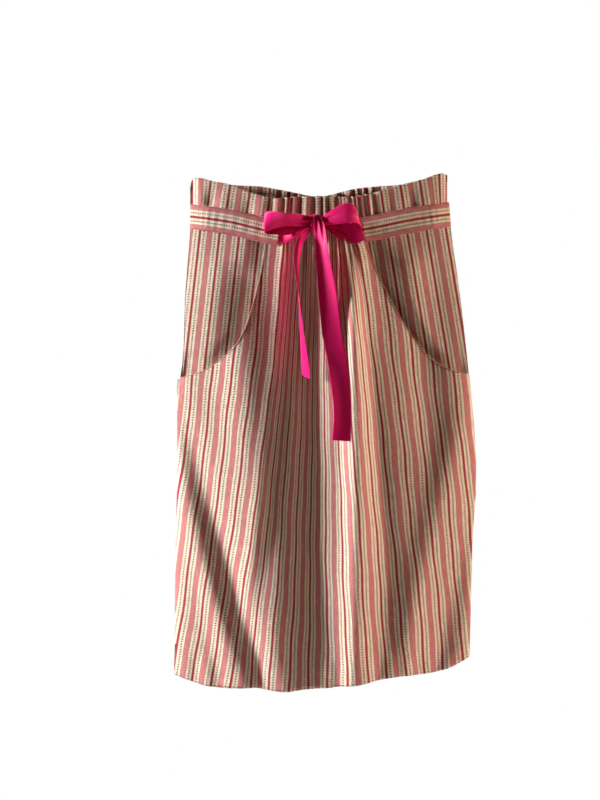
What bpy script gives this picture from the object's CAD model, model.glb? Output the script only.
"""Hung drawstring skirt: cloth, satin bow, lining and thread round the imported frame.

Shapes are worked out in millimetres and put into meshes in metres. +X is to the right of
a person who looks at the front, the front faces -Y, and +Z is up.
"""
import math

import bpy
import numpy as np
from bpy.props import FloatProperty, FloatVectorProperty, PointerProperty
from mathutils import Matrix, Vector


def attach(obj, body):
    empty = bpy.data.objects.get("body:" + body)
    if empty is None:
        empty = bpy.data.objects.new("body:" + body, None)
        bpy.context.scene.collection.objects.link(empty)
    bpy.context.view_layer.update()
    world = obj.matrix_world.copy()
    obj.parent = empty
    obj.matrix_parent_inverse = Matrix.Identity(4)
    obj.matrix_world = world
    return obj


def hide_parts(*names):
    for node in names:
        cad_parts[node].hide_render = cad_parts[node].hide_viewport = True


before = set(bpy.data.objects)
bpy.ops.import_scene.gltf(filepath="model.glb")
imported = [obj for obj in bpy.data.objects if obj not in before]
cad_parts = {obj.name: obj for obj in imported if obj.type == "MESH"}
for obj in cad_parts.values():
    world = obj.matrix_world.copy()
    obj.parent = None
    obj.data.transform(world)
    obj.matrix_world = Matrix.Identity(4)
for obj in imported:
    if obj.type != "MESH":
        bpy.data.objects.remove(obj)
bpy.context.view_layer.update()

bl_info = {
    "name": "Hung drawstring skirt",
    "version": (1, 0, 0),
    "blender": (4, 5, 0),
    "location": "3D View > Sidebar > Skirt",
    "description": "Builds a striped drawstring skirt with a satin bow, hung by its waist",
    "category": "Add Mesh",
}

MM = 0.001
ROOT = "skirt"

# Seam lines of the hung tube: height, left seam, right seam, front bulge, back bulge
HEIGHTS = [4, -60, -160, -235, -275, -380, -500, -660]
LEFT_SEAM = [162, 162.3, 169.5, 172.5, 177.5, 178.5, 181, 183.5]
RIGHT_SEAM = [159.5, 163.5, 177, 185.5, 189.5, 196.5, 192, 188.5]
FRONT_BULGE = [15, 17, 22, 25.5, 27.5, 32, 35, 38]
BACK_BULGE = [13, 15, 21, 24.5, 26.5, 30, 34, 37]
# Outlines in the front view, as x and z
FRONT_TOP = (
    [-164, -161, -156, -148, -135, -114, -86, -60, -30, 0, 40, 70, 100, 135, 155, 160],
    [-16, -9, -6.5, -7.2, -10.5, -15, -25, -32.5, -31, -30, -31, -25, -16, -7, -1, -2.5],
)
BACK_TOP = (
    [-164, -161, -156, -148, -135, -112, -75, -50, -25, -4, 19, 38, 69, 100, 125, 155, 160],
    [-16, -9, -6.5, -7.2, -10.5, -14, -16, -20, -25, -29, -25, -20, -16, -14, -9, -1, -2.5],
)
CASING_TOP = ([-172, -110, -49, 0, 51, 110, 172], [-38, -47, -61, -64, -57, -45, -35.5])
FRONT_HEM = (
    [-192, -137, -87, -31, 37, 94, 162, 194],
    [-632, -646, -646, -650, -641, -632, -625, -609],
)
BACK_HEM = ([-192, 0, 194], [-620, -638, -603])
# Pocket mouths, as z and x
LEFT_MOUTH = (
    [-50, -95, -166, -210, -230, -247, -256, -258],
    [-68, -69, -84, -101, -119, -143, -168, -176],
)
RIGHT_MOUTH = ([-50, -94, -147, -195, -227, -246, -253], [58, 60, 82, 109, 133, 160, 185])
CASING_ENDS = (-49.0, 51.0)
CASING_DEPTH, CASING_LEVEL = 31.0, -70.0  # width of the casing strip, and the height of its middle
CASING_LEAN = 0.17  # how far the casing and the headings lean along the waist's slope
HEADING_MIDDLE, HEADING_HALF = -1.5, 162.0  # middle and half width of both headings
LENS_POWER = 0.62  # roundness of the tube's section: 0.5 would be an ellipse
PANEL_LIFT = 1.2  # how far the panels stand off the tube
MOUTH_FOOT, HEM_LEVEL = -262, -650  # heights of the mouths' foot and of the panels' last row
HEM_FOLD = 2.2  # how far behind the panel its turned-up hem lies
TURN_UNDER = 1.3  # how far behind the casing its turned edges lie
REPEAT = 25.0  # width of one repeat of the stripes
RIBBON = 25.0  # width of the ribbon where nothing pinches it
LOOP_PLACE, TAPE_WIDTH, TAPE_WALL = 144, 5.0, 0.0006  # hanger loops; the wall is in metres


def length_setting(name, description, metres):
    """Length property with its default in metres."""
    return FloatProperty(
        name=name, description=description, default=metres, min=0.0001, unit="LENGTH"
    )


class SkirtSizes(bpy.types.PropertyGroup):
    """Sizes that a maker would change."""

    cloth: length_setting("Cloth", "Thickness of the woven cotton", 0.0007)
    ribbon_width: length_setting("Ribbon width", "Width of the satin ribbon", 0.025)
    ribbon_wall: length_setting("Ribbon", "Thickness of the satin ribbon", 0.0004)
    stripe_repeat: length_setting("Stripe repeat", "Distance between two dark lines", 0.025)
    dot_pitch: length_setting("Dot pitch", "Distance between two woven dots", 0.0033)
    stitch: length_setting("Stitch", "Length of one machine stitch", 0.003)


def linear(hex_colour):
    """Linear colour of an sRGB hex value."""
    value = np.array([int(hex_colour[i : i + 2], 16) / 255 for i in (1, 3, 5)])
    return tuple(np.where(value <= 0.04045, value / 12.92, ((value + 0.055) / 1.055) ** 2.4))


def colour_setting(name, description, hex_colour):
    """Colour property that starts as a hex value."""
    return FloatVectorProperty(
        name=name, description=description, subtype="COLOR", size=3, default=linear(hex_colour)
    )


class SkirtColours(bpy.types.PropertyGroup):
    """Colours of the yarns and the ribbon."""

    ground: colour_setting("Ground", "Cream warp", "#EFE3D3")
    edge: colour_setting("Edge", "Tan line beside each stripe", "#A98A52")
    pink: colour_setting("Pink", "Wide stripe", "#CE7E88")
    maroon: colour_setting("Maroon", "Dark line", "#A8124A")
    olive: colour_setting("Olive", "Dark dots", "#221C0C")
    russet: colour_setting("Russet", "Red-brown dots", "#7A2218")
    satin: colour_setting("Satin", "Ribbon", "#D8006A")


# ---------------------------------------------------------------- shapes


def through(places, values, at):
    """Smooth curve through points: a cubic between each two, with slopes taken across the
    neighbours."""
    places, values = np.asarray(places, float), np.asarray(values, float)
    if places[0] > places[-1]:
        places, values = places[::-1], values[::-1]
    slopes = np.gradient(values, places)
    at = np.clip(at, places[0], places[-1])
    i = np.clip(np.searchsorted(places, at) - 1, 0, len(places) - 2)
    run = places[i + 1] - places[i]
    t = (at - places[i]) / run
    return (
        (1 + 2 * t) * (1 - t) ** 2 * values[i]
        + t * (1 - t) ** 2 * run * slopes[i]
        + t**2 * (3 - 2 * t) * values[i + 1]
        + t**2 * (t - 1) * run * slopes[i + 1]
    )


def ease(t):
    """Smooth step from 0 to 1."""
    t = np.clip(t, 0, 1)
    return t * t * (3 - 2 * t)


def crease(x, z, start, end, width, height):
    """Bell across a line that runs down from start to end, faded at both ends."""
    along = np.clip((z - start[1]) / (end[1] - start[1]), -0.3, 1.3)
    middle = start[0] + along * (end[0] - start[0])
    fade = ease((along + 0.25) / 0.4) * (1 - 0.6 * ease((along - 0.9) / 0.4))
    return height * fade * np.exp(-(((x - middle) / width) ** 2))


def front_folds(x, z):
    """Hanging folds of the front: ridges and valleys, each a bell across a slanting line."""
    return (
        crease(x, z, (-200, -322), (-108, -620), 17, 9)
        + crease(x, z, (-170, -322), (-80, -620), 17, -9)
        + crease(x, z, (-108, -150), (-62, -600), 32, 12)
        + crease(x, z, (-17, -98), (-14, -600), 24, -15)
        + crease(x, z, (42, -110), (46, -647), 19, 21)
        + crease(x, z, (46, -80), (42, -215), 9, 7)
        + crease(x, z, (126, -130), (141, -322), 26, -9)
        + crease(x, z, (172, -330), (98, -620), 20, 9)
        + crease(x, z, (204, -400), (146, -640), 18, -10)
    )


def back_folds(x, z):
    """Hanging folds of the back, softer than the front's."""
    return (
        crease(x, z, (-60, -90), (-84, -640), 26, -7)
        + crease(x, z, (-20, -100), (-30, -640), 24, 6)
        + crease(x, z, (30, -100), (24, -640), 20, -6)
        + crease(x, z, (80, -110), (98, -640), 28, 7)
        + crease(x, z, (150, -300), (120, -620), 18, -5)
    )


def seams(z):
    """How far the left and the right seam are from the middle at a height."""
    return through(HEIGHTS, LEFT_SEAM, z), through(HEIGHTS, RIGHT_SEAM, z)


def across(x, z):
    """Place across the tube, from -1 at the left seam to 1 at the right one."""
    left, right = seams(z)
    return np.clip((2 * x - right + left) / (right + left), -1, 1)


def lens(x, z):
    """Section of the tube: 1 less the square of the place across, to the power LENS_POWER."""
    return np.maximum(0, 1 - across(x, z) ** 2) ** LENS_POWER


def front_depth(x, z, folds=1.0):
    """How far the front stands before the seams: a lens section plus the folds."""
    section = lens(x, z)
    strength = folds * ease(-z / 200)
    return section * through(HEIGHTS, FRONT_BULGE, z) + strength * front_folds(x, z) * section**0.5


def back_depth(x, z):
    """How far the back stands behind the seams, made as the front's depth is."""
    section = lens(x, z)
    strength = ease(-z / 200)
    return section * through(HEIGHTS, BACK_BULGE, z) + strength * back_folds(x, z) * section**0.5


def distances(path):
    """Distance of each point along a path: the running sum of the lengths of its steps."""
    return np.concatenate([[0], np.cumsum(np.linalg.norm(np.diff(path, axis=0), axis=1))])


def unit(vectors):
    """Vectors cut to length 1."""
    return vectors / np.maximum(np.linalg.norm(vectors, axis=-1, keepdims=True), 1e-9)


def normals(grid):
    """Normal at each point of a grid: the cross product of its two directions."""
    down, along = np.gradient(grid, axis=0), np.gradient(grid, axis=1)
    return unit(np.cross(down, along))


def lifted(grid, height):
    """The grid moved along its normals."""
    return grid + normals(grid) * np.asarray(height)[..., None]


def mesh_piece(name, grid, uv, wall=0.0, closed=False, offset=-1.0):
    """Object from a grid of points in millimetres: four-sided faces between neighbours, each corner
    with its point's uv, given a wall by Solidify. A closed grid joins its last column to its first,
    and closed is its uv width all round."""
    rows, columns = grid.shape[:2]
    index = np.arange(rows * columns).reshape(rows, columns)
    if closed:
        index = np.concatenate([index, index[:, :1]], axis=1)
        last = uv[:, :1].copy()
        last[..., 0] += closed
        uv = np.concatenate([uv, last], axis=1)
    number = np.arange(index.size).reshape(index.shape)
    near, far = slice(None, -1), slice(1, None)
    corners = [(near, near), (far, near), (far, far), (near, far)]
    faces = np.stack([index[c] for c in corners], axis=-1).reshape(-1, 4)
    where = np.stack([number[c] for c in corners], axis=-1).reshape(-1)
    return mesh_object(name, grid.reshape(-1, 3), faces, uv.reshape(-1, 2)[where], wall, offset)


def mesh_object(name, points, faces, corner_uv, wall=0.0, offset=-1.0):
    """Object from points in millimetres, faces of equal size and a uv for each face corner."""
    mesh = bpy.data.meshes.new(name)
    size = faces.shape[1]
    mesh.vertices.add(len(points))
    mesh.vertices.foreach_set("co", np.ascontiguousarray(points * MM, dtype=np.float32).ravel())
    mesh.loops.add(faces.size)
    mesh.loops.foreach_set("vertex_index", faces.astype(np.int32).ravel())
    mesh.polygons.add(len(faces))
    mesh.polygons.foreach_set("loop_start", np.arange(0, faces.size, size, dtype=np.int32))
    mesh.polygons.foreach_set("loop_total", np.full(len(faces), size, dtype=np.int32))
    mesh.update(calc_edges=True)
    mesh.validate()
    layer = mesh.uv_layers.new(name="UVMap")
    layer.data.foreach_set("uv", np.ascontiguousarray(corner_uv, dtype=np.float32).ravel())
    mesh.polygons.foreach_set("use_smooth", np.ones(len(faces), dtype=bool))
    piece = bpy.data.objects.new(name, mesh)
    bpy.context.scene.collection.objects.link(piece)
    if wall:
        solid = piece.modifiers.new("Wall", "SOLIDIFY")
        solid.thickness = wall
        solid.offset = offset
    return piece


# ---------------------------------------------------------------- materials


def node(tree, kind, inputs=None, **settings):
    """Adds a node with its settings. inputs gives a socket's number or name its value, or the
    socket of another node that is linked to it."""
    made = tree.nodes.new("ShaderNode" + kind)
    for key, value in settings.items():
        setattr(made, key, value)
    for key, value in (inputs or {}).items():
        if isinstance(value, bpy.types.NodeSocket):
            tree.links.new(value, made.inputs[key])
        else:
            made.inputs[key].default_value = value
    return made


def new_material(name):
    """Material with an empty node tree; gives both."""
    material = bpy.data.materials.new(name + "_finish")
    material.use_nodes = True
    material.node_tree.nodes.clear()
    return material, material.node_tree


# Warp plan: where each colour starts across one repeat, from the middle of the dark line
WARP_PLAN = (
    (0.0, "maroon"), (0.05, "edge"), (0.07, "ground"), (0.355, "edge"), (0.38, "pink"),
    (0.62, "edge"), (0.645, "ground"), (0.93, "edge"), (0.95, "maroon"),
)
DOT_LANES = ((0.213, "olive"), (0.787, "russet"))  # middles of the two rows of woven dots
DOT_HALF = 0.045  # half a dot's width, as a share of the repeat


def striped_cotton():
    """Yarn-dyed cotton, plain woven: matt and slightly fuzzy, so light falls off softly over the
    folds. Uneven yarn and raised woven dots keep the stripes from looking printed."""
    colours, sizes = bpy.context.scene.skirt_colours, bpy.context.scene.skirt_sizes
    material, tree = new_material("striped_cotton")
    uv = node(tree, "TexCoord").outputs["UV"]
    parts = node(tree, "SeparateXYZ", {0: uv})
    wide, long = sizes.stripe_repeat / MM, sizes.dot_pitch / MM
    repeats = node(tree, "Math", {0: parts.outputs[0], 1: wide}, operation="DIVIDE")
    phase = node(tree, "Math", {0: repeats.outputs[0]}, operation="FRACT").outputs[0]
    stripes = node(tree, "ValToRGB", {0: phase})
    ramp = stripes.color_ramp
    ramp.interpolation = "CONSTANT"
    for i, (place, name) in enumerate(WARP_PLAN):
        stop = ramp.elements[i] if i < 2 else ramp.elements.new(place)
        stop.position = place
        stop.color = (*getattr(colours, name), 1)
    base = stripes.outputs[0]
    # Woven dots: short floats of dark yarn down the middle of each cream lane
    beats = node(tree, "Math", {0: parts.outputs[1], 1: long}, operation="DIVIDE")
    beat = node(tree, "Math", {0: beats.outputs[0]}, operation="FRACT")
    on = node(tree, "Math", {0: beat.outputs[0], 1: 0.5}, operation="LESS_THAN")
    dots = []
    for lane, name in DOT_LANES:
        off = node(tree, "Math", {0: phase, 1: lane}, operation="SUBTRACT")
        away = node(tree, "Math", {0: off.outputs[0]}, operation="ABSOLUTE")
        near = node(tree, "Math", {0: away.outputs[0], 1: DOT_HALF}, operation="LESS_THAN")
        dot = node(tree, "Math", {0: near.outputs[0], 1: on.outputs[0]}, operation="MULTIPLY")
        dots.append(dot.outputs[0])
        strength = node(tree, "Math", {0: dots[-1], 1: 0.92}, operation="MULTIPLY").outputs[0]
        yarn = (*getattr(colours, name), 1)
        base = node(tree, "Mix", {0: strength, 6: base, 7: yarn}, data_type="RGBA").outputs[2]
    # Flecks: darker specks of seed in the yarn, about 1 mm across
    speck = node(tree, "TexNoise", {"Vector": uv, "Scale": 0.75, "Detail": 2.0}).outputs[0]
    fleck = node(tree, "MapRange", {0: speck, 1: 0.47, 2: 0.64, 3: 0.0, 4: 0.6}).outputs[0]
    seed = (*(0.5 * c for c in colours.edge), 1)
    base = node(tree, "Mix", {0: fleck, 6: base, 7: seed}, data_type="RGBA").outputs[2]
    # Slubs: thick and thin yarn along the warp, about 1 mm wide and ten times as long
    stretch = node(tree, "Mapping", {0: uv, "Scale": (0.9, 0.09, 1)}).outputs[0]
    slub = node(tree, "TexNoise", {"Vector": stretch, "Scale": 1.0, "Detail": 3.0}).outputs[0]
    shade = node(tree, "MapRange", {0: slub, 1: 0.3, 2: 0.7, 3: 0.72, 4: 1.1}).outputs[0]
    grey = node(tree, "CombineXYZ", {0: shade, 1: shade, 2: shade}).outputs[0]
    base = node(
        tree, "Mix", {0: 1.0, 6: base, 7: grey}, data_type="RGBA", blend_type="MULTIPLY"
    ).outputs[2]
    # Weave: one thread each 1.1 mm both ways, about three times coarser than real so that it shows
    weft = node(tree, "TexWave", {"Vector": uv, "Scale": 0.29}, bands_direction="Y")
    warp = node(tree, "TexWave", {"Vector": uv, "Scale": 0.29}, bands_direction="X")
    cloth = node(tree, "Math", {0: weft.outputs["Fac"], 1: warp.outputs["Fac"]}, operation="ADD")
    raised = node(tree, "Math", {0: dots[0], 1: dots[1]}, operation="ADD")
    uneven = node(tree, "Math", {0: raised.outputs[0], 1: slub}, operation="ADD")
    height = node(tree, "Math", {0: cloth.outputs[0], 1: uneven.outputs[0]}, operation="ADD")
    bump = node(tree, "Bump", {"Height": height.outputs[0], "Strength": 0.35, "Distance": 0.0003})
    shader = node(tree, "BsdfPrincipled", {
        "Base Color": base, "Normal": bump.outputs[0], "Roughness": 0.88,
        "Specular IOR Level": 0.25, "Sheen Weight": 0.15, "Sheen Roughness": 0.5,
    })
    node(tree, "OutputMaterial", {0: shader.outputs[0]})
    return material


def satin():
    """Double-faced satin ribbon, woven with long floats that reflect together: a soft, broad gloss
    that is drawn out one way, over a deep colour."""
    colours = bpy.context.scene.skirt_colours
    material, tree = new_material("satin_ribbon")
    uv = node(tree, "TexCoord").outputs["UV"]
    # Floats: a third of a millimetre wide and 4 mm long
    stretch = node(tree, "Mapping", {0: uv, "Scale": (3.0, 0.25, 1)}).outputs[0]
    thread = node(tree, "TexNoise", {"Vector": stretch, "Scale": 1.0, "Detail": 2.0}).outputs[0]
    tone = node(tree, "MapRange", {0: thread, 1: 0.35, 2: 0.65, 3: 0.88, 4: 1.06}).outputs[0]
    grey = node(tree, "CombineXYZ", {0: tone, 1: tone, 2: tone}).outputs[0]
    base = node(
        tree, "Mix", {0: 1.0, 6: (*colours.satin, 1), 7: grey},
        data_type="RGBA", blend_type="MULTIPLY",
    ).outputs[2]
    # Ribs: one each 0.7 mm along the ribbon, coarser than real so that they show
    ribs = node(tree, "TexWave", {"Vector": uv, "Scale": 0.45}, bands_direction="Y")
    height = node(tree, "Math", {0: ribs.outputs["Fac"], 1: thread}, operation="ADD")
    bump = node(tree, "Bump", {"Height": height.outputs[0], "Strength": 0.12, "Distance": 0.0002})
    shader = node(tree, "BsdfPrincipled", {
        "Base Color": base, "Normal": bump.outputs[0], "Roughness": 0.45,
        "Specular IOR Level": 0.22, "Anisotropic": 0.5, "Sheen Weight": 0.08,
    })
    node(tree, "OutputMaterial", {0: shader.outputs[0]})
    return material


WAVE_BAND = 0.314  # width of one band of a wave texture whose scale is 1


def plain_cotton(name, hex_colour, pitch=1.2):
    """Plain woven cotton in one colour, as lining, tape or thread: matt, with small uneven patches.
    Its threads have a pitch in millimetres, coarser than real so that they show."""
    material, tree = new_material(name)
    uv = node(tree, "TexCoord").outputs["UV"]
    patch = node(tree, "TexNoise", {"Vector": uv, "Scale": 0.35, "Detail": 4.0}).outputs[0]
    tone = node(tree, "MapRange", {0: patch, 1: 0.3, 2: 0.7, 3: 0.86, 4: 1.05}).outputs[0]
    grey = node(tree, "CombineXYZ", {0: tone, 1: tone, 2: tone}).outputs[0]
    base = node(
        tree, "Mix", {0: 1.0, 6: (*linear(hex_colour), 1), 7: grey},
        data_type="RGBA", blend_type="MULTIPLY",
    ).outputs[2]
    scale = WAVE_BAND / pitch
    weft = node(tree, "TexWave", {"Vector": uv, "Scale": scale}, bands_direction="Y")
    warp = node(tree, "TexWave", {"Vector": uv, "Scale": scale}, bands_direction="X")
    height = node(tree, "Math", {0: weft.outputs["Fac"], 1: warp.outputs["Fac"]}, operation="ADD")
    bump = node(tree, "Bump", {"Height": height.outputs[0], "Strength": 0.3, "Distance": 0.0002})
    shader = node(tree, "BsdfPrincipled", {
        "Base Color": base, "Normal": bump.outputs[0], "Roughness": 0.85, "Sheen Weight": 0.1,
    })
    node(tree, "OutputMaterial", {0: shader.outputs[0]})
    return material


def finish(name):
    """The material of that name, made when it is first asked for."""
    makers = {
        "striped_cotton": striped_cotton,
        "satin_ribbon": satin,
        "pocket_lining": lambda: plain_cotton("pocket_lining", "#DCCBB4"),
        "mouth_binding": lambda: plain_cotton("mouth_binding", "#C48E88", 0.8),
        "loop_tape": lambda: plain_cotton("loop_tape", "#E6DCCB", 0.6),
        "sewing_thread": lambda: plain_cotton("sewing_thread", "#B96A78", 0.5),
    }
    return bpy.data.materials.get(name + "_finish") or makers[name]()


def dress(piece, material, body=ROOT):
    """Gives a piece its finish and the body that it moves with."""
    piece.data.materials.append(finish(material))
    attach(piece, body)
    return piece


# ---------------------------------------------------------------- the front's cloth

# Where the cloth lies: stripe 0 ends the gathers on the left and stripe 9 on the right
GATHER_STRIPES = 9.0
GATHER_LEFT, GATHER_RIGHT = -45.4, 43.8  # places of those two at the casing
HEM_LEFT, HEM_STEP = -111.0, 24.2  # stripe 0's place at the hem, and the step from stripe to stripe
PANEL_TOP, PANEL_FOOT = -89.0, -635.0  # heights where the stripes start and end to spread


def stripe_x(stripe, z):
    """Place of a stripe at a height: gathered at the casing, even at the hem. On the left the
    stripes spread late on the way down, on the right early."""
    share = np.clip((PANEL_TOP - z) / (PANEL_TOP - PANEL_FOOT), 0, 1.05)
    power = 1.25 - 0.5 * np.clip(stripe / GATHER_STRIPES, 0, 1)
    spread = share**power
    inner = np.clip(stripe, 0, GATHER_STRIPES)
    gathered = GATHER_LEFT + inner * (GATHER_RIGHT - GATHER_LEFT) / GATHER_STRIPES
    top = gathered + (stripe - inner) * REPEAT
    return (1 - spread) * top + spread * (HEM_LEFT + stripe * HEM_STEP)


def stripe_at(x, z, side):
    """Stripe number at a place outside the gathers, on the left or the right: the distance from the
    gathers' last stripe over the width of one repeat there."""
    first = 0.0 if side == "left" else GATHER_STRIPES
    base = stripe_x(np.full_like(z, first), z)
    step = stripe_x(np.full_like(z, first + (-1 if side == "left" else 1)), z) - base
    return first + (x - base) / np.abs(step)


def hem_puckers(x, z):
    """Small waves that the hem's stitching draws up: two sines along the hem, faded above it."""
    return 2.0 * ease((-z - 598) / 24) * np.sin(x / 5.3) * np.sin(x / 17.0 + 0.8)


def gathers(stripe, z):
    """Pleats that the drawstring draws up: fine ones at the casing that join into wider ones below.
    Each is a wave across the cloth, faded at the sides of the gathers and on the way down."""
    depth = np.clip((PANEL_TOP + 28 - z) / 560, 0, 1)
    middle = ease((stripe + 0.8) / 1.6) * ease((GATHER_STRIPES + 0.9 - stripe) / 1.6)
    tight = stripe * 1.03 + 0.35 * np.sin(stripe * 1.7)
    fine = 3.2 * np.exp(-depth / 0.09) * np.cos(2 * np.pi * tight)
    loose = stripe * 0.52 + 0.12 * np.sin(2.1 * stripe)
    medium = 3.4 * ease(depth / 0.06) * np.exp(-depth / 0.3) * np.cos(2 * np.pi * loose + 0.6)
    broad = 3.5 * ease(depth / 0.2) * (1 - 0.45 * ease((depth - 0.5) / 0.5))
    broad = broad * np.cos(2 * np.pi * (stripe - 5.0) / 2.5)
    return middle * (fine + medium + broad)


def panel_rows():
    """Heights of the front panel's rows, closer together where the mouths run level."""
    return np.concatenate([
        np.linspace(-56, -150, 40, endpoint=False),
        np.linspace(-150, -225, 24, endpoint=False),
        np.linspace(-225, MOUTH_FOOT, 34, endpoint=False),
        np.linspace(MOUTH_FOOT, HEM_LEVEL, 92),
    ])


def hem_curved(level, foot):
    """Heights below the mouths, scaled so that the last row lies on the hem's curve."""
    share = (level - MOUTH_FOOT) / (HEM_LEVEL - MOUTH_FOOT)
    return np.where(level > MOUTH_FOOT, level, MOUTH_FOOT + share * (foot - MOUTH_FOOT))


def front_panel_grid(columns=226):
    """Grid of the front panel. Each row runs from the left seam or mouth to the right one at even
    steps of cloth; below the mouths the rows' heights close up on the hem's curve."""
    rows = panel_rows()
    corner = 3.0 * np.exp(-(((rows - MOUTH_FOOT) / 22) ** 2))
    left_seam, right_seam = seams(rows)
    left = np.where(rows > LEFT_MOUTH[0][-1], through(*LEFT_MOUTH, rows), -left_seam - 1.0 - corner)
    right = np.where(rows > RIGHT_MOUTH[0][-1], through(*RIGHT_MOUTH, rows), right_seam + 0.5)
    first, last = stripe_at(left, rows, "left"), stripe_at(right, rows, "right")
    share = np.linspace(0, 1, columns)
    stripe = first[:, None] + share * (last - first)[:, None]
    level = rows[:, None] + 0 * stripe
    x = stripe_x(stripe, level)
    z = hem_curved(level, through(*FRONT_HEM, x))
    y = -front_depth(x, z) - gathers(stripe, z) - hem_puckers(x, z)
    grid = np.stack([x, y, z], axis=-1)
    drift = 0.7 * np.sin(z / 31 + stripe * 0.9) + 0.45 * np.sin(z / 12 + stripe * 2.1)
    uv = np.stack([stripe * REPEAT + drift, -z], axis=-1)
    return grid, uv


def turned_up(grid, uv, inward, depth=26.0, rows=7):
    """The grid with its last row folded inwards along Y and run back up, as a hem is."""
    up = np.linspace(0.02, 1, rows)[:, None, None] * np.array([0, 0, depth])
    fold = np.array([0, inward, 0]) * ease(np.linspace(0.3, 1.3, rows))[:, None, None]
    folded = grid[-1] + fold + up
    extra = uv[-1] + np.stack([np.zeros(rows), np.linspace(0.5, depth, rows)], axis=-1)[:, None, :]
    return np.concatenate([grid, folded]), np.concatenate([uv, extra])


def striped_piece(name, grid, uv, slot="striped_cotton"):
    """Piece of the striped cotton."""
    piece = mesh_piece(name, grid, uv, bpy.context.scene.skirt_sizes.cloth)
    return dress(piece, "striped_cotton")


def panel_piece(name, grid, uv, inward):
    """Front or back panel with its hem turned up."""
    grid, uv = turned_up(grid, uv, inward)
    return striped_piece(name, lifted(grid, np.full(grid.shape[:2], PANEL_LIFT)), uv)


class SKIRT_OT_front(bpy.types.Operator):
    """Gathered front panel, cut away along both pocket mouths"""

    bl_idname = "skirt.front"
    bl_label = "Front panel"

    def execute(self, context):
        piece = panel_piece("front_cloth", *front_panel_grid(), inward=HEM_FOLD)
        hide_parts("front_panel")
        return {"FINISHED"}


def back_panel_grid():
    """Grid of the back panel: half round the tube, with pleats under the casing."""
    rows = np.concatenate([
        np.linspace(-56, -160, 40, endpoint=False), np.linspace(-160, HEM_LEVEL, 110)
    ])
    turn = np.linspace(0, np.pi, 240)
    level = rows[:, None] + 0 * turn
    left, right = seams(level)
    x = (right - left) / 2 + np.cos(turn) * (right + left + 1.5) / 2
    z = hem_curved(level, through(*BACK_HEM, x))
    drop = np.clip((-60 - z) / 580, 0, 1)
    pleat = 2.6 * np.exp(-drop / 0.12) * np.cos(x / 2.2 + 0.6 * np.sin(x / 11))
    y = back_depth(x, z) + pleat * ease(1.5 - np.abs(x) / 80)
    fan = 1 + 0.14 * (1 - drop)
    return np.stack([x, y, z], axis=-1), np.stack([x * fan + 7, -z], axis=-1)


class SKIRT_OT_back(bpy.types.Operator):
    """Back panel, gently gathered, from the casing to the hem"""

    bl_idname = "skirt.back"
    bl_label = "Back panel"

    def execute(self, context):
        piece = panel_piece("back_cloth", *back_panel_grid(), inward=-HEM_FOLD)
        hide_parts("back_panel")
        return {"FINISHED"}


# ---------------------------------------------------------------- the waist


def heading_grid(top, front, columns=240, rows=22):
    """Grid of a heading: from its top edge to behind the casing, drawn square to the casing's
    slope, with pleats that the drawstring gathers in the middle."""
    turn = np.linspace(0, np.pi, columns)
    x = HEADING_MIDDLE + (-1 if front else 1) * np.cos(turn) * HEADING_HALF
    high, low = through(*top, x), through(*CASING_TOP, x) - 9
    share = np.linspace(0, 1, rows)[:, None]
    z = high + share * (low - high)
    place = x + CASING_LEAN * np.tanh(x / 60) * (high - z) * ease((160 - np.abs(x)) / 30)
    # Repeats of the cloth along the waist: close together in the gathers, wider beside them
    cloth = np.where(
        x < -39, (x + 39) / 24.4, np.where(x < 76, (x + 39) / 16.4, 7 + (x - 76) / 24.4)
    )
    middle = ease((95 - np.abs(x - 5)) / 50)
    wave = np.cos(2 * np.pi * (cloth * 1.45 + 0.3 * np.sin(cloth * 2.3)))
    ripple = 1.8 * np.sin(x / 6.5) + 1.2 * np.sin(x / 3.9 + 1)
    pleat = 3.0 * middle * wave * (0.55 + 0.45 * share) + (1 - middle) * ripple * share
    pressed = 0.15 + 0.85 * ease((z - low - 7) / 7)
    pleat = pleat * pressed * ease((160 - np.abs(x)) / 14)
    depth = front_depth(x + 0 * z, z, 0.3) if front else back_depth(x + 0 * z, z)
    y = -(depth + pleat) if front else depth + pleat
    grid = np.stack([place, y, z], axis=-1)
    uv = np.stack([cloth * REPEAT + 0 * z, -z], axis=-1)
    flare = 1.2 + 1.5 * (1 - share) ** 2
    return lifted(grid, flare * ease((160.5 - np.abs(x)) / 10)), uv


class SKIRT_OT_headings(bpy.types.Operator):
    """Ruffled headings above the casing, front and back"""

    bl_idname = "skirt.headings"
    bl_label = "Headings"

    def execute(self, context):
        for name, top, front in (("front", FRONT_TOP, True), ("back", BACK_TOP, False)):
            grid, uv = heading_grid(top, front)
            # The top edge is turned under
            under = grid[:1] - normals(grid)[:1] * 1.6
            low = under - np.array([0, 0, 9.0])
            grid = np.concatenate([low, under + [0, 0, -0.6], grid])
            uv = np.concatenate([uv[:1] - [0, 10], uv[:1] - [0, 1], uv])
            piece = striped_piece(f"heading_{name}_cloth", grid, uv)
            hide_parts(f"heading_{name}")
        return {"FINISHED"}


def tube_x(turn, z):
    """Place across the tube at an angle round it, which is 0 at the left seam, pi at the right one
    and more round the back: the middle less half the width times the angle's cosine."""
    left, right = seams(z)
    return (right - left) / 2 - np.cos(turn) * (right + left) / 2


def round_waist(turn, z):
    """Point on the tube at an angle round it: the front's depth over the front half, and the back's
    over the back half."""
    x = tube_x(turn, z)
    y = np.where(np.sin(turn) > 0, -front_depth(x, z, 0.3), back_depth(x, z))
    return np.stack([x, y, z], axis=-1)


def casing_turns(count):
    """Angles round the waist from the casing's left front end, over the back, to its right one."""
    left, right = seams(CASING_LEVEL)
    start, end = (math.acos(-(2 * x - right + left) / (right + left)) for x in CASING_ENDS)
    return np.linspace(start, end - 2 * np.pi, count)


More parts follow.
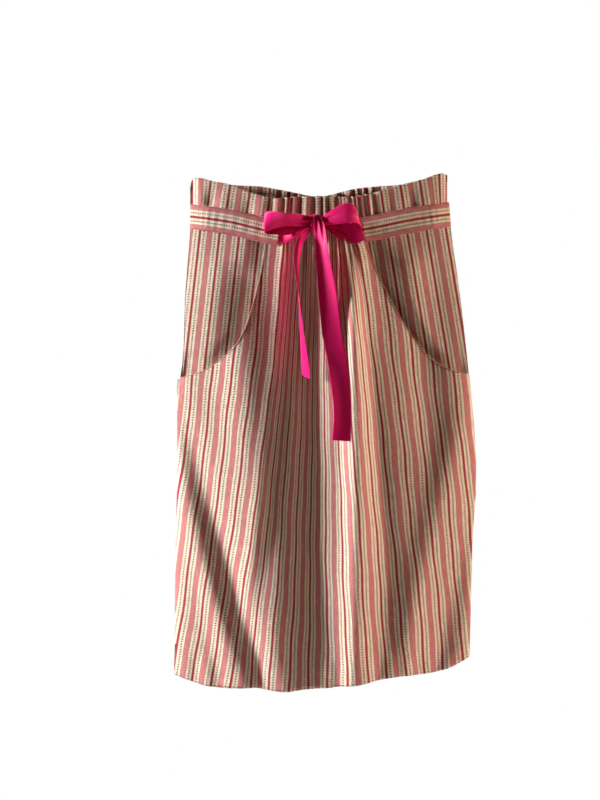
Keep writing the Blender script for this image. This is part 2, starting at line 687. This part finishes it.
def casing_surface(across_band, turn, height):
    """Surface of the casing: points of the tube below the casing's top line, moved along their
    normals. across_band runs from 0 at the top edge to 1 at the bottom one, and height is how far
    the casing stands off the tube."""
    x = tube_x(turn, CASING_LEVEL)
    top = through(*CASING_TOP, x)
    z = top - across_band * CASING_DEPTH
    grid = round_waist(turn + 0 * z, z)
    grid[..., 0] += CASING_LEAN * np.tanh(x / 60) * (top - z) * ease((158 - np.abs(x)) / 40)
    height = height * (0.35 + 0.65 * ease((163 - np.abs(x)) / 25))
    return lifted(grid[:, ::-1], height[:, ::-1])[:, ::-1]


def casing_puff(share):
    """Bulge of the casing: 1 less the fifth power of the distance from its middle line."""
    return np.clip(1 - np.abs(2 * share - 1) ** 5, 0, 1)


class SKIRT_OT_casing(bpy.types.Operator):
    """Casing strip with its stripes turned, open at the middle of the front"""

    bl_idname = "skirt.casing"
    bl_label = "Casing"

    def execute(self, context):
        turn = casing_turns(560)
        share = np.linspace(0, 1, 30)[:, None]
        ripple = 0.25 * np.sin(turn * 61) * np.sin(np.pi * share)
        puff = 2.4 + 2.0 * casing_puff(share) + ripple
        grid = casing_surface(share, turn, puff)
        length = distances(grid[15])
        uv = np.stack([(share - 0.5) * CASING_DEPTH + 0 * turn, length + 0 * share], axis=-1)
        # Both long edges are turned under
        outward = normals(grid[:, ::-1])[:, ::-1]
        top = grid[:1] - outward[:1] * TURN_UNDER - [0, 0, 0.3]
        bottom = grid[-1:] - outward[-1:] * TURN_UNDER + [0, 0, 0.3]
        grid = np.concatenate([top - [0, 0, 6.0], top, grid, bottom, bottom + [0, 0, 6.0]])
        above = [uv[:1] + [7, 0], uv[:1] + [1, 0]]
        uv = np.concatenate([*above, uv, uv[-1:] - [1, 0], uv[-1:] - [7, 0]])
        piece = striped_piece(
            "casing_cloth", grid[:, ::-1], uv[:, ::-1], slot="striped_cotton_across"
        )
        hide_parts("casing")
        return {"FINISHED"}


# ---------------------------------------------------------------- pockets

BAG_EDGE = ([-58, -150, -230, -290, -320, -338], [-46, -46, -48, -60, -82, -118])


def backing_grid(side, columns=120, rows=150):
    """Grid of a pocket's back layer: level with the waist at the casing, then set back behind the
    front, from the side seam to the bag's curved edge."""
    z = np.linspace(-50, -338, rows)[:, None]
    inner = through(*BAG_EDGE, z)
    share = ease(np.linspace(0, 1, columns)) * 0.5 + np.linspace(0, 1, columns) * 0.5
    sink = 4.5 if side == "left" else 6.0
    if side == "left":
        seam = -through(HEIGHTS, LEFT_SEAM, np.maximum(z, -240)) + 0.5
        x = seam + share * (inner - seam)
    else:
        seam = through(HEIGHTS, RIGHT_SEAM, z) - 0.5 * ease((-150 - z) / 90)
        x = seam + share * (-inner - seam)
    inset = x * 0.985
    section = np.maximum(0, 1 - across(inset, z) ** 2) ** 0.5
    hidden = ease(share) * ease((-110 - z) / 60)
    back = sink * ease((-70 - z) / 150) * np.minimum(1, section * 1.4) + 9 * hidden
    if side == "left":
        drape = crease(x, z, (-128, -120), (-138, -235), 24, 6) * section
        clear = through(*LEFT_MOUTH, z) - x
    else:
        drape = crease(x, z, (112, -110), (124, -235), 24, 11) * section
        clear = x - through(*RIGHT_MOUTH, z)
    # Shown only where it is clear of the mouth's edge, and kept behind the panel elsewhere
    shown = ease((clear - 1) / 26) * ease((z + 250) / 45)
    folds = 0.15 + 0.85 * ease((-245 - z) / 25)
    depth = np.maximum(front_depth(inset, z, folds) - back, 1.0)
    covered = np.maximum(np.minimum(depth, front_depth(x, z) - 4.5), 0.8)
    y = -(shown * (depth + drape) + (1 - shown) * covered)
    if side == "left":
        cloth = x + 77 + 0.115 * (-z - 85)
    else:
        cloth = x - 86 - 0.17 * (-z - 85)
    grid = np.stack([x, y, z + 0 * x], axis=-1)
    uv = np.stack([cloth, -z + 0 * x], axis=-1)
    if side == "right":
        grid, uv = grid[:, ::-1], uv[:, ::-1]
    return grid, uv


def facing_grid(side, columns=70, rows=110):
    """Grid of a pocket's facing: behind the front panel, from the mouth to the bag's edge."""
    z = np.linspace(-97, -330, rows)[:, None]
    inner = through(*BAG_EDGE, z)
    if side == "left":
        outer = np.where(z > -250, through(*LEFT_MOUTH, z), -150.0)
    else:
        outer = np.where(z > -248, through(*RIGHT_MOUTH, z), 152.0)
        inner = -inner
    share = np.linspace(0.0, 1, columns)
    inwards = share if side == "left" else 1 - share
    if side == "right":
        outer, inner = inner, outer
    x = outer + share * (inner - outer)
    y = -front_depth(x, z) + 1.5 + 6.5 * ease(inwards * 1.6)
    return np.stack([x, y, z + 0 * x], axis=-1), np.stack([x, -z + 0 * x], axis=-1)


def mouth_path(side, count=150):
    """Points along a pocket mouth on the front panel's surface."""
    heights, places = LEFT_MOUTH if side == "left" else RIGHT_MOUTH
    steps = np.linspace(0, len(heights) - 1, count)
    z = through(range(len(heights)), heights, steps)
    x = through(range(len(heights)), places, steps)
    keep = z < -86
    x, z = x[keep], z[keep]
    stripe = stripe_at(x, z, side)
    y = -front_depth(x, z) - gathers(stripe, z) - 1.3
    return np.stack([x, y, z], axis=-1)


def capped_tube(name, path, radius_out, radius_in, sides=10):
    """Tube piece: an ellipse carried along a path, square to its direction, whose ends are drawn in
    to a point."""
    along = unit(np.gradient(path, axis=0))
    out = unit(np.cross(along, np.cross(np.array([0.0, -1.0, 0.0]), along)))
    side = np.cross(along, out)
    angle = np.linspace(0, 2 * np.pi, sides, endpoint=False)
    outwards = radius_out * np.cos(angle)[None, :, None] * out[:, None]
    sideways = radius_in * np.sin(angle)[None, :, None] * side[:, None]
    ring = path[:, None] + outwards + sideways
    places = angle[None, :] * radius_in, distances(path)[:, None]
    uv = np.stack(np.broadcast_arrays(*places), axis=-1)
    first, last = (np.broadcast_to(path[i], (1, sides, 3)) for i in (0, -1))
    grid = np.concatenate([first, ring, last])
    uv = np.concatenate([uv[:1], uv, uv[-1:]])
    return mesh_piece(name, grid, uv, closed=2 * np.pi * radius_in)


class SKIRT_OT_pockets(bpy.types.Operator):
    """Both pockets: back layer, facing and the binding along the mouth"""

    bl_idname = "skirt.pockets"
    bl_label = "Pockets"

    def execute(self, context):
        wall = context.scene.skirt_sizes.cloth
        for side, backing_area, facing_area in (("left", 0.0345, 0.0145), ("right", 0.038, 0.017)):
            backing = striped_piece(f"pocket_backing_{side}_cloth", *backing_grid(side))
            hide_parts(f"pocket_backing_{side}")
            facing = mesh_piece(f"pocket_facing_{side}_cloth", *facing_grid(side), wall)
            dress(facing, "pocket_lining")
            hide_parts(f"pocket_facing_{side}")
            binding = capped_tube(f"pocket_binding_{side}_cloth", mouth_path(side), 0.65, 0.55)
            dress(binding, "mouth_binding")
            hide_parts(f"pocket_binding_{side}")
        return {"FINISHED"}


# ---------------------------------------------------------------- ribbon

# Each station of a ribbon: its middle, the direction across it, and its width there
LOOP_LEFT = [
    ((-12, -33, -62), (0.1, -0.2, -1), 11), ((-20, -38, -61), (0.1, 0.3, -1), 14),
    ((-32, -41.5, -61), (0.05, 0.8, -0.8), 21), ((-41, -42, -61), (0.0, 0.9, -0.7), 25),
    ((-52, -41.5, -61.5), (-0.05, 0.75, -0.8), 25), ((-63, -40, -62), (-0.05, 0.35, -1), 25),
    ((-69.5, -36, -64), (0.0, 0.0, -1), 25), ((-66, -31, -66), (0, -0.2, -1), 25),
    ((-54, -28.5, -67), (0, -0.2, -1), 24), ((-38, -27.5, -68), (0, 0, -1), 22),
    ((-24, -28, -67), (0, 0, -1), 16), ((-12, -30, -65), (0, 0, -1), 10),
]
LOOP_RIGHT = [
    ((2, -34, -62), (0.2, 0, -1), 11), ((12, -40, -59), (0.25, -0.25, -1), 17),
    ((24, -43, -55), (0.32, -0.3, -1), 23), ((36, -43, -52), (0.36, -0.2, -1), 26),
    ((44, -40, -53.5), (0.34, 0, -1), 27), ((49, -35, -62), (0.28, 0.1, -1), 27),
    ((50, -30, -73), (0.3, 0.1, -1), 27), ((43, -27, -77), (0.2, 0.1, -1), 26),
    ((30, -26.5, -74), (-0.1, 0.1, -1), 23), ((18, -27.5, -70), (-0.2, 0, -1), 17),
    ((6, -30, -66), (-0.2, 0, -1), 10),
]
TAIL_RIGHT = [
    ((-5, -36.5, -56), (1, 0.1, -0.25), 8), ((-1.8, -41.5, -63), (1, -0.15, -0.3), 13),
    ((0.3, -44, -76), (1, -0.6, -0.1), 17), ((1.8, -45, -90), (0.78, -0.8, 0), 21),
    ((4.4, -45, -114), (0.75, -0.75, 0), 24), ((8.6, -45.5, -146), (0.88, -0.5, 0), 25),
    ((11.5, -46.5, -172), (0.95, -0.3, 0), 25), ((15.6, -48, -206), (1, -0.1, 0), 25),
    ((20, -49.5, -230), (1, 0.05, 0), 25), ((24, -51.5, -256), (1, 0.12, 0), 25),
    ((28, -53, -285), (1, 0.15, 0), 25), ((29, -53.5, -310), (1, 0.15, 0), 25),
    ((27.0, -53.5, -335), (1, 0.12, -0.07), 25),
]
TAIL_LEFT = [
    ((-10, -33, -69), (0.9, 0.3, 0), 8), ((-17, -35, -74.5), (0.75, 0.6, 0), 13),
    ((-24.5, -37, -85), (0.48, 0.9, 0), 20), ((-29, -38, -104), (0.35, 0.94, 0), 25),
    ((-28.8, -38.5, -128), (0.2, 0.98, 0), 25), ((-26.8, -39, -154), (0.0, 1, 0), 25),
    ((-25.0, -39.5, -180), (-0.12, 1, 0), 25), ((-22.4, -40, -207), (-0.22, 0.98, 0), 25),
    ((-19.8, -40.5, -232), (-0.33, 0.94, 0), 25), ((-17.5, -41, -256), (-0.42, 0.9, 0.2), 25),
]


def ribbon_grid(stations, steps=110, columns=15, curl=0.6):
    """Grid of a ribbon: a smooth line through its stations' middles, with a straight or slightly
    curled line of the station's width laid across it."""
    middle = np.array([s[0] for s in stations], float)
    side = unit(np.array([s[1] for s in stations], float))
    width = np.array([s[2] for s in stations], float)
    run = distances(middle)
    at = np.linspace(0, run[-1], steps)
    path = np.stack([through(run, middle[:, i], at) for i in range(3)], axis=-1)
    across_it = unit(np.stack([through(run, side[:, i], at) for i in range(3)], axis=-1))
    wide = through(run, width, at)
    face = unit(np.cross(unit(np.gradient(path, axis=0)), across_it))
    share = np.linspace(-0.5, 0.5, columns)
    # Where the ribbon is drawn together it creases lengthwise
    pinch = 1 - wide / RIBBON
    bend = curl * (4 * share**2 - 0.5) + pinch[:, None] * 3.0 * np.cos(share * 4 * np.pi)
    flat = across_it[:, None] * (wide[:, None] * share)[..., None]
    grid = path[:, None] + flat + face[:, None] * bend[..., None]
    uv = np.stack(np.broadcast_arrays(share[None, :] * RIBBON, at[:, None]), axis=-1)
    return grid, uv, run[-1]


def ribbon_piece(name, stations, **shape):
    """Ribbon piece that moves on its own, declared as a sheet of its real width and length."""
    sizes = bpy.context.scene.skirt_sizes
    grid, uv, length = ribbon_grid(stations, **shape)
    piece = mesh_piece(name + "_satin", grid, uv, sizes.ribbon_wall, offset=0.0)
    dress(piece, "satin_ribbon", name + "_body")
    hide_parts(name)


class SKIRT_OT_bow(bpy.types.Operator):
    """Tied bow: two loops and two tails that move on their own"""

    bl_idname = "skirt.bow"
    bl_label = "Bow"

    def execute(self, context):
        ribbon_piece("bow_loop_left", LOOP_LEFT, curl=-0.8)
        ribbon_piece("bow_loop_right", LOOP_RIGHT, curl=0.8)
        ribbon_piece("ribbon_tail_left", TAIL_LEFT, steps=150)
        ribbon_piece("ribbon_tail_right", TAIL_RIGHT, steps=180)
        return {"FINISHED"}


KNOT_MIDDLE = (-5, -31.5, -64)


class SKIRT_OT_knot(bpy.types.Operator):
    """Knot: the ribbon wrapped round the middle of the bow, creased as it goes round"""

    bl_idname = "skirt.knot"
    bl_label = "Knot"

    def execute(self, context):
        turn = np.linspace(0, 2 * np.pi, 64, endpoint=False)
        share = np.linspace(-1, 1, 41)[:, None]
        # A barrel that lies along X: an ellipse round it at each place, drawn in towards both
        # rounded ends, with cosine creases that run round it
        shape = np.maximum(0, 1 - np.abs(share) ** 3.0) ** 0.45
        creases = 0.7 * np.cos(share * 9 + 1.1 * np.sin(turn)) + 0.4 * np.cos(share * 17 + turn)
        depth = (6.0 + creases) * shape
        tall = (10.5 + creases) * shape
        x = KNOT_MIDDLE[0] + share * 8.5 + 0.8 * np.cos(turn)
        y = KNOT_MIDDLE[1] - depth * np.cos(turn)
        z = KNOT_MIDDLE[2] + tall * np.sin(turn) * (1 - 0.12 * share)
        grid = np.stack(np.broadcast_arrays(x, y, z), axis=-1)
        uv = np.stack(np.broadcast_arrays(share * 12.5, turn * 9.0), axis=-1)
        piece = mesh_piece("bow_knot_satin", grid, uv[..., ::-1], closed=18 * np.pi)
        dress(piece, "satin_ribbon")
        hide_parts("bow_knot")
        return {"FINISHED"}


# The ribbon's way from each end of the casing into the knot
RUN_ENDS = {
    "left": [((-28, -29.5, -70.5), (0.1, -0.15, -1), 18), ((-11, -30.5, -65), (0, 0, -1), 9)],
    "right": [((24, -27.5, -69), (-0.1, -0.1, -1), 18), ((4, -30.5, -65), (0, 0, -1), 9)],
}


class SKIRT_OT_drawstring(bpy.types.Operator):
    """Ribbon inside the casing, and where it comes out at both ends on its way to the knot"""

    bl_idname = "skirt.drawstring"
    bl_label = "Drawstring"

    def execute(self, context):
        turn = casing_turns(360)
        share = np.linspace(0, 1, 9)[:, None]
        height = np.full((9, len(turn)), 1.9)
        inside = casing_surface(0.1 + 0.8 * share, turn, height).transpose(1, 0, 2)
        ends = []
        for end, side, way in ((0, "left", 1), (-1, "right", -1)):
            edge = inside[end]
            middle, reach = edge.mean(axis=0), tuple(edge[-1] - edge[0])
            out = middle + np.array([way * 6.0, -1.5, 0])
            first = [(tuple(middle), reach, RIBBON), (tuple(out), reach, RIBBON)]
            ends.append(ribbon_grid(first + RUN_ENDS[side], steps=40, columns=9, curl=1.2)[0])
        run = np.concatenate([ends[0][::-1], inside[1:-1], ends[1]])
        length = distances(run[:, 4])
        uv = np.stack(np.broadcast_arrays((share.T - 0.5) * RIBBON, length[:, None]), axis=-1)
        wall = context.scene.skirt_sizes.ribbon_wall
        piece = mesh_piece("ribbon_run_satin", run, uv, wall, offset=0.0)
        dress(piece, "satin_ribbon")
        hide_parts("ribbon_run")
        return {"FINISHED"}


# ---------------------------------------------------------------- inside and sewing


def hanger_loop_grid(way, columns=5, steps=120):
    """Grid of a hanger loop: a tape that runs down one leg, round a half circle and up the other.
    Its legs close up towards the top, where both are sewn in."""
    radius, top, foot = 3.4, -38.5, -127.5
    leg = -(top - foot - radius)
    run = np.linspace(leg - 4.8, -leg + 4.8, steps)
    angle = np.clip(run / radius, -np.pi / 2, np.pi / 2)
    beyond = np.abs(run) - radius * np.pi / 2
    z = np.where(beyond > 0, foot + radius + beyond, foot + radius - radius * np.cos(angle))
    spread = 0.15 + 0.85 * ease((top - z) / 34)
    x = way * LOOP_PLACE + radius * np.sin(angle) * spread
    share = np.linspace(-0.5, 0.5, columns)
    width = TAPE_WIDTH * share[None, :]
    grid = np.stack(np.broadcast_arrays(x[:, None], width, z[:, None]), axis=-1)
    uv = np.stack(np.broadcast_arrays(width, run[:, None]), axis=-1)
    return grid, uv


def allowance_grid(way):
    """Grid of a side seam's allowance: a narrow strip inside the tube, slightly wavy."""
    z = np.linspace(-136, -614, 160)[:, None]
    share = np.linspace(0, 1, 8)
    x = way * (seams(z)[0 if way < 0 else 1] - 3.0 - 8.0 * share)
    y = 0.8 + 0.5 * share + 0.15 * np.sin(z / 3.2)
    z = z + 0 * x
    return np.stack([x, y, z], axis=-1), np.stack([x, -z], axis=-1)


class SKIRT_OT_inside(bpy.types.Operator):
    """Side seam allowances and hanger loops inside the waist"""

    bl_idname = "skirt.inside"
    bl_label = "Inside"

    def execute(self, context):
        for side, way in (("left", -1), ("right", 1)):
            piece = striped_piece(f"side_seam_{side}_cloth", *allowance_grid(way))
            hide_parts(f"side_seam_{side}")
            name = f"hanger_loop_{side}"
            tape = mesh_piece(name + "_tape", *hanger_loop_grid(way), TAPE_WALL, offset=0.0)
            dress(tape, "loop_tape", name + "_body")
            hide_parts(name)
        return {"FINISHED"}


def stitch_row(name, path, lift, pitch, thick=0.35):
    """Row of stitches along a path: one small six-sided spindle for each, all in one mesh."""
    run = distances(path)
    count = int(run[-1] / pitch)
    starts = (np.arange(count) + 0.1) * pitch
    # Five rings to a stitch: where each is along it, its girth and how high it rises
    share = np.array([0.0, 0.2, 0.5, 0.8, 1.0])
    girth = thick * np.array([0.15, 0.8, 1.0, 0.8, 0.15])
    rise = np.array([-0.2, 0.1, 0.25, 0.1, -0.2])
    rings, sides = len(share), 6
    at = starts[:, None] + share * pitch * 0.72
    line = np.stack([np.interp(at, run, path[:, i]) for i in range(3)], axis=-1)
    along = unit(line[:, -1] - line[:, 0])[:, None]
    out = lift[np.clip(np.searchsorted(run, starts), 0, len(run) - 1)][:, None]
    side = np.cross(along, out)
    angle = np.linspace(0, 2 * np.pi, sides, endpoint=False)
    outwards = rise[:, None] + girth[:, None] * np.cos(angle)
    sideways = girth[:, None] * np.sin(angle)
    points = (
        line[:, :, None]
        + out[:, :, None] * outwards[None, :, :, None]
        + side[:, :, None] * sideways[None, :, :, None]
    ).reshape(-1, 3)
    index = np.arange(rings * sides).reshape(rings, sides)
    wrap = np.concatenate([index, index[:, :1]], axis=1)
    quads = np.stack([wrap[:-1, :-1], wrap[1:, :-1], wrap[1:, 1:], wrap[:-1, 1:]], axis=-1)
    # Two quads close each end of the spindle
    lids = np.array([[0, 1, 2, 3], [0, 3, 4, 5], [27, 26, 25, 24], [29, 28, 27, 24]])
    faces = np.concatenate([quads.reshape(-1, 4), lids])
    faces = (faces[None] + (np.arange(count) * rings * sides)[:, None, None]).reshape(-1, 4)
    return mesh_object(name, points, faces, points[faces.reshape(-1)][:, [0, 2]])


class SKIRT_OT_sewing(bpy.types.Operator):
    """Machine stitches along both edges of the casing"""

    bl_idname = "skirt.sewing"
    bl_label = "Sewing"

    def execute(self, context):
        pitch = context.scene.skirt_sizes.stitch / MM
        turn = casing_turns(700)
        for name, share in (("top", 0.045), ("bottom", 0.955)):
            # Three rows close together give the normals of the middle one
            rows = np.array([share - 0.01, share, share + 0.01])[:, None]
            grid = casing_surface(rows, turn, 2.75 + 1.7 * casing_puff(rows) + 0 * turn)
            outward = normals(grid[:, ::-1])[:, ::-1][1]
            stitches = stitch_row(f"casing_stitches_{name}", grid[1], outward, pitch)
            dress(stitches, "sewing_thread")
        return {"FINISHED"}


# ---------------------------------------------------------------- stage

# Name, place, size, power and tint of each lamp. The two windows graze the cloth from both sides,
# so the folds throw shadows; the fills lift the shadows a little.
LAMPS = (
    ("window_left", (-2.1, -0.27, 0.3), 0.5, 108, "#FFFAF8"),
    ("window_right", (2.0, -0.22, 0.1), 0.5, 50, "#FFE2CC"),
    ("front_fill", (0.6, -2.4, 0.6), 1.6, 2.2, "#FFC08A"),
    ("back_fill", (0.4, 2.2, 0.5), 1.8, 24, "#FFFFFF"),
)
LAMP_TARGET = (0, 0, -0.33)
CAMERA_TARGET, CAMERA_DISTANCE, VIEW_HEIGHT = (-0.025, -0.03, -0.285), 2.6, 1.0
CAMERA_TILT = 2.0  # degrees


def placed(name, data, place, target):
    """Lamp or camera at a place, its -Z along the way to a target."""
    made = bpy.data.objects.new(name, data)
    bpy.context.scene.collection.objects.link(made)
    made.location = place
    way = Vector(np.array(target) - np.array(place))
    made.rotation_euler = way.to_track_quat("-Z", "Y").to_euler()
    return made


class SKIRT_OT_stage(bpy.types.Operator):
    """Pale floor, soft lights and the camera"""

    bl_idname = "skirt.stage"
    bl_label = "Stage"

    def execute(self, context):
        # The floor is low and small enough to stay out of the front view
        bpy.ops.mesh.primitive_circle_add(
            vertices=96, radius=1.4, fill_type="NGON", location=(0, 0, -1.3)
        )
        floor = context.object
        floor.name = "floor"
        material, tree = new_material("pale_floor")
        paint = {"Base Color": (*linear("#EDEBE8"), 1), "Roughness": 0.8}
        shader = node(tree, "BsdfPrincipled", paint)
        node(tree, "OutputMaterial", {0: shader.outputs[0]})
        floor.data.materials.append(material)
        for name, place, size, power, tint in LAMPS:
            light = bpy.data.lights.new(name, "AREA")
            light.shape = "DISK"
            light.size = size
            light.energy = power
            light.color = linear(tint)
            placed(name, light, place, LAMP_TARGET)
        # The camera sees white, and the cloth gets a weak warm light from all round
        world = bpy.data.worlds.new("studio")
        context.scene.world = world
        world.use_nodes = True
        tree = world.node_tree
        tree.nodes.clear()
        soft = node(tree, "Background", {"Color": (*linear("#FFCFA0"), 1), "Strength": 0.045})
        seen = node(tree, "Background", {"Color": (1, 1, 1, 1), "Strength": 1.0})
        to_camera = node(tree, "LightPath").outputs["Is Camera Ray"]
        mix = node(tree, "MixShader", {0: to_camera, 1: soft.outputs[0], 2: seen.outputs[0]})
        node(tree, "OutputWorld", {0: mix.outputs[0]})
        camera = bpy.data.cameras.new("camera")
        camera.sensor_fit = "VERTICAL"
        camera.sensor_height = 24.0
        camera.lens = camera.sensor_height * CAMERA_DISTANCE / VIEW_HEIGHT
        tilt = math.radians(CAMERA_TILT)
        back = CAMERA_DISTANCE * np.array([0, -math.cos(tilt), math.sin(tilt)])
        place = np.array(CAMERA_TARGET) + back
        context.scene.camera = placed("camera", camera, place, CAMERA_TARGET)
        context.scene.view_settings.view_transform = "Standard"
        return {"FINISHED"}


class SKIRT_PT_panel(bpy.types.Panel):
    """Lists the skirt's pieces"""

    bl_idname = "SKIRT_PT_panel"
    bl_label = "Skirt"
    bl_space_type = "VIEW_3D"
    bl_region_type = "UI"
    bl_category = "Skirt"

    def draw(self, context):
        for operator in OPERATORS:
            self.layout.operator(operator.bl_idname)
        for group in (context.scene.skirt_sizes, context.scene.skirt_colours):
            for name in group.__annotations__:
                self.layout.prop(group, name)


OPERATORS = (
    SKIRT_OT_front,
    SKIRT_OT_back,
    SKIRT_OT_headings,
    SKIRT_OT_casing,
    SKIRT_OT_pockets,
    SKIRT_OT_drawstring,
    SKIRT_OT_knot,
    SKIRT_OT_bow,
    SKIRT_OT_inside,
    SKIRT_OT_sewing,
    SKIRT_OT_stage,
)
CLASSES = (SkirtSizes, SkirtColours, *OPERATORS, SKIRT_PT_panel)


def register():
    for item in CLASSES:
        bpy.utils.register_class(item)
    bpy.types.Scene.skirt_sizes = PointerProperty(type=SkirtSizes)
    bpy.types.Scene.skirt_colours = PointerProperty(type=SkirtColours)


def unregister():
    del bpy.types.Scene.skirt_sizes
    del bpy.types.Scene.skirt_colours
    for item in reversed(CLASSES):
        bpy.utils.unregister_class(item)


def main():
    register()
    for operator in OPERATORS:
        getattr(bpy.ops.skirt, operator.bl_idname.split(".")[1])()


if __name__ == "__main__":
    main()
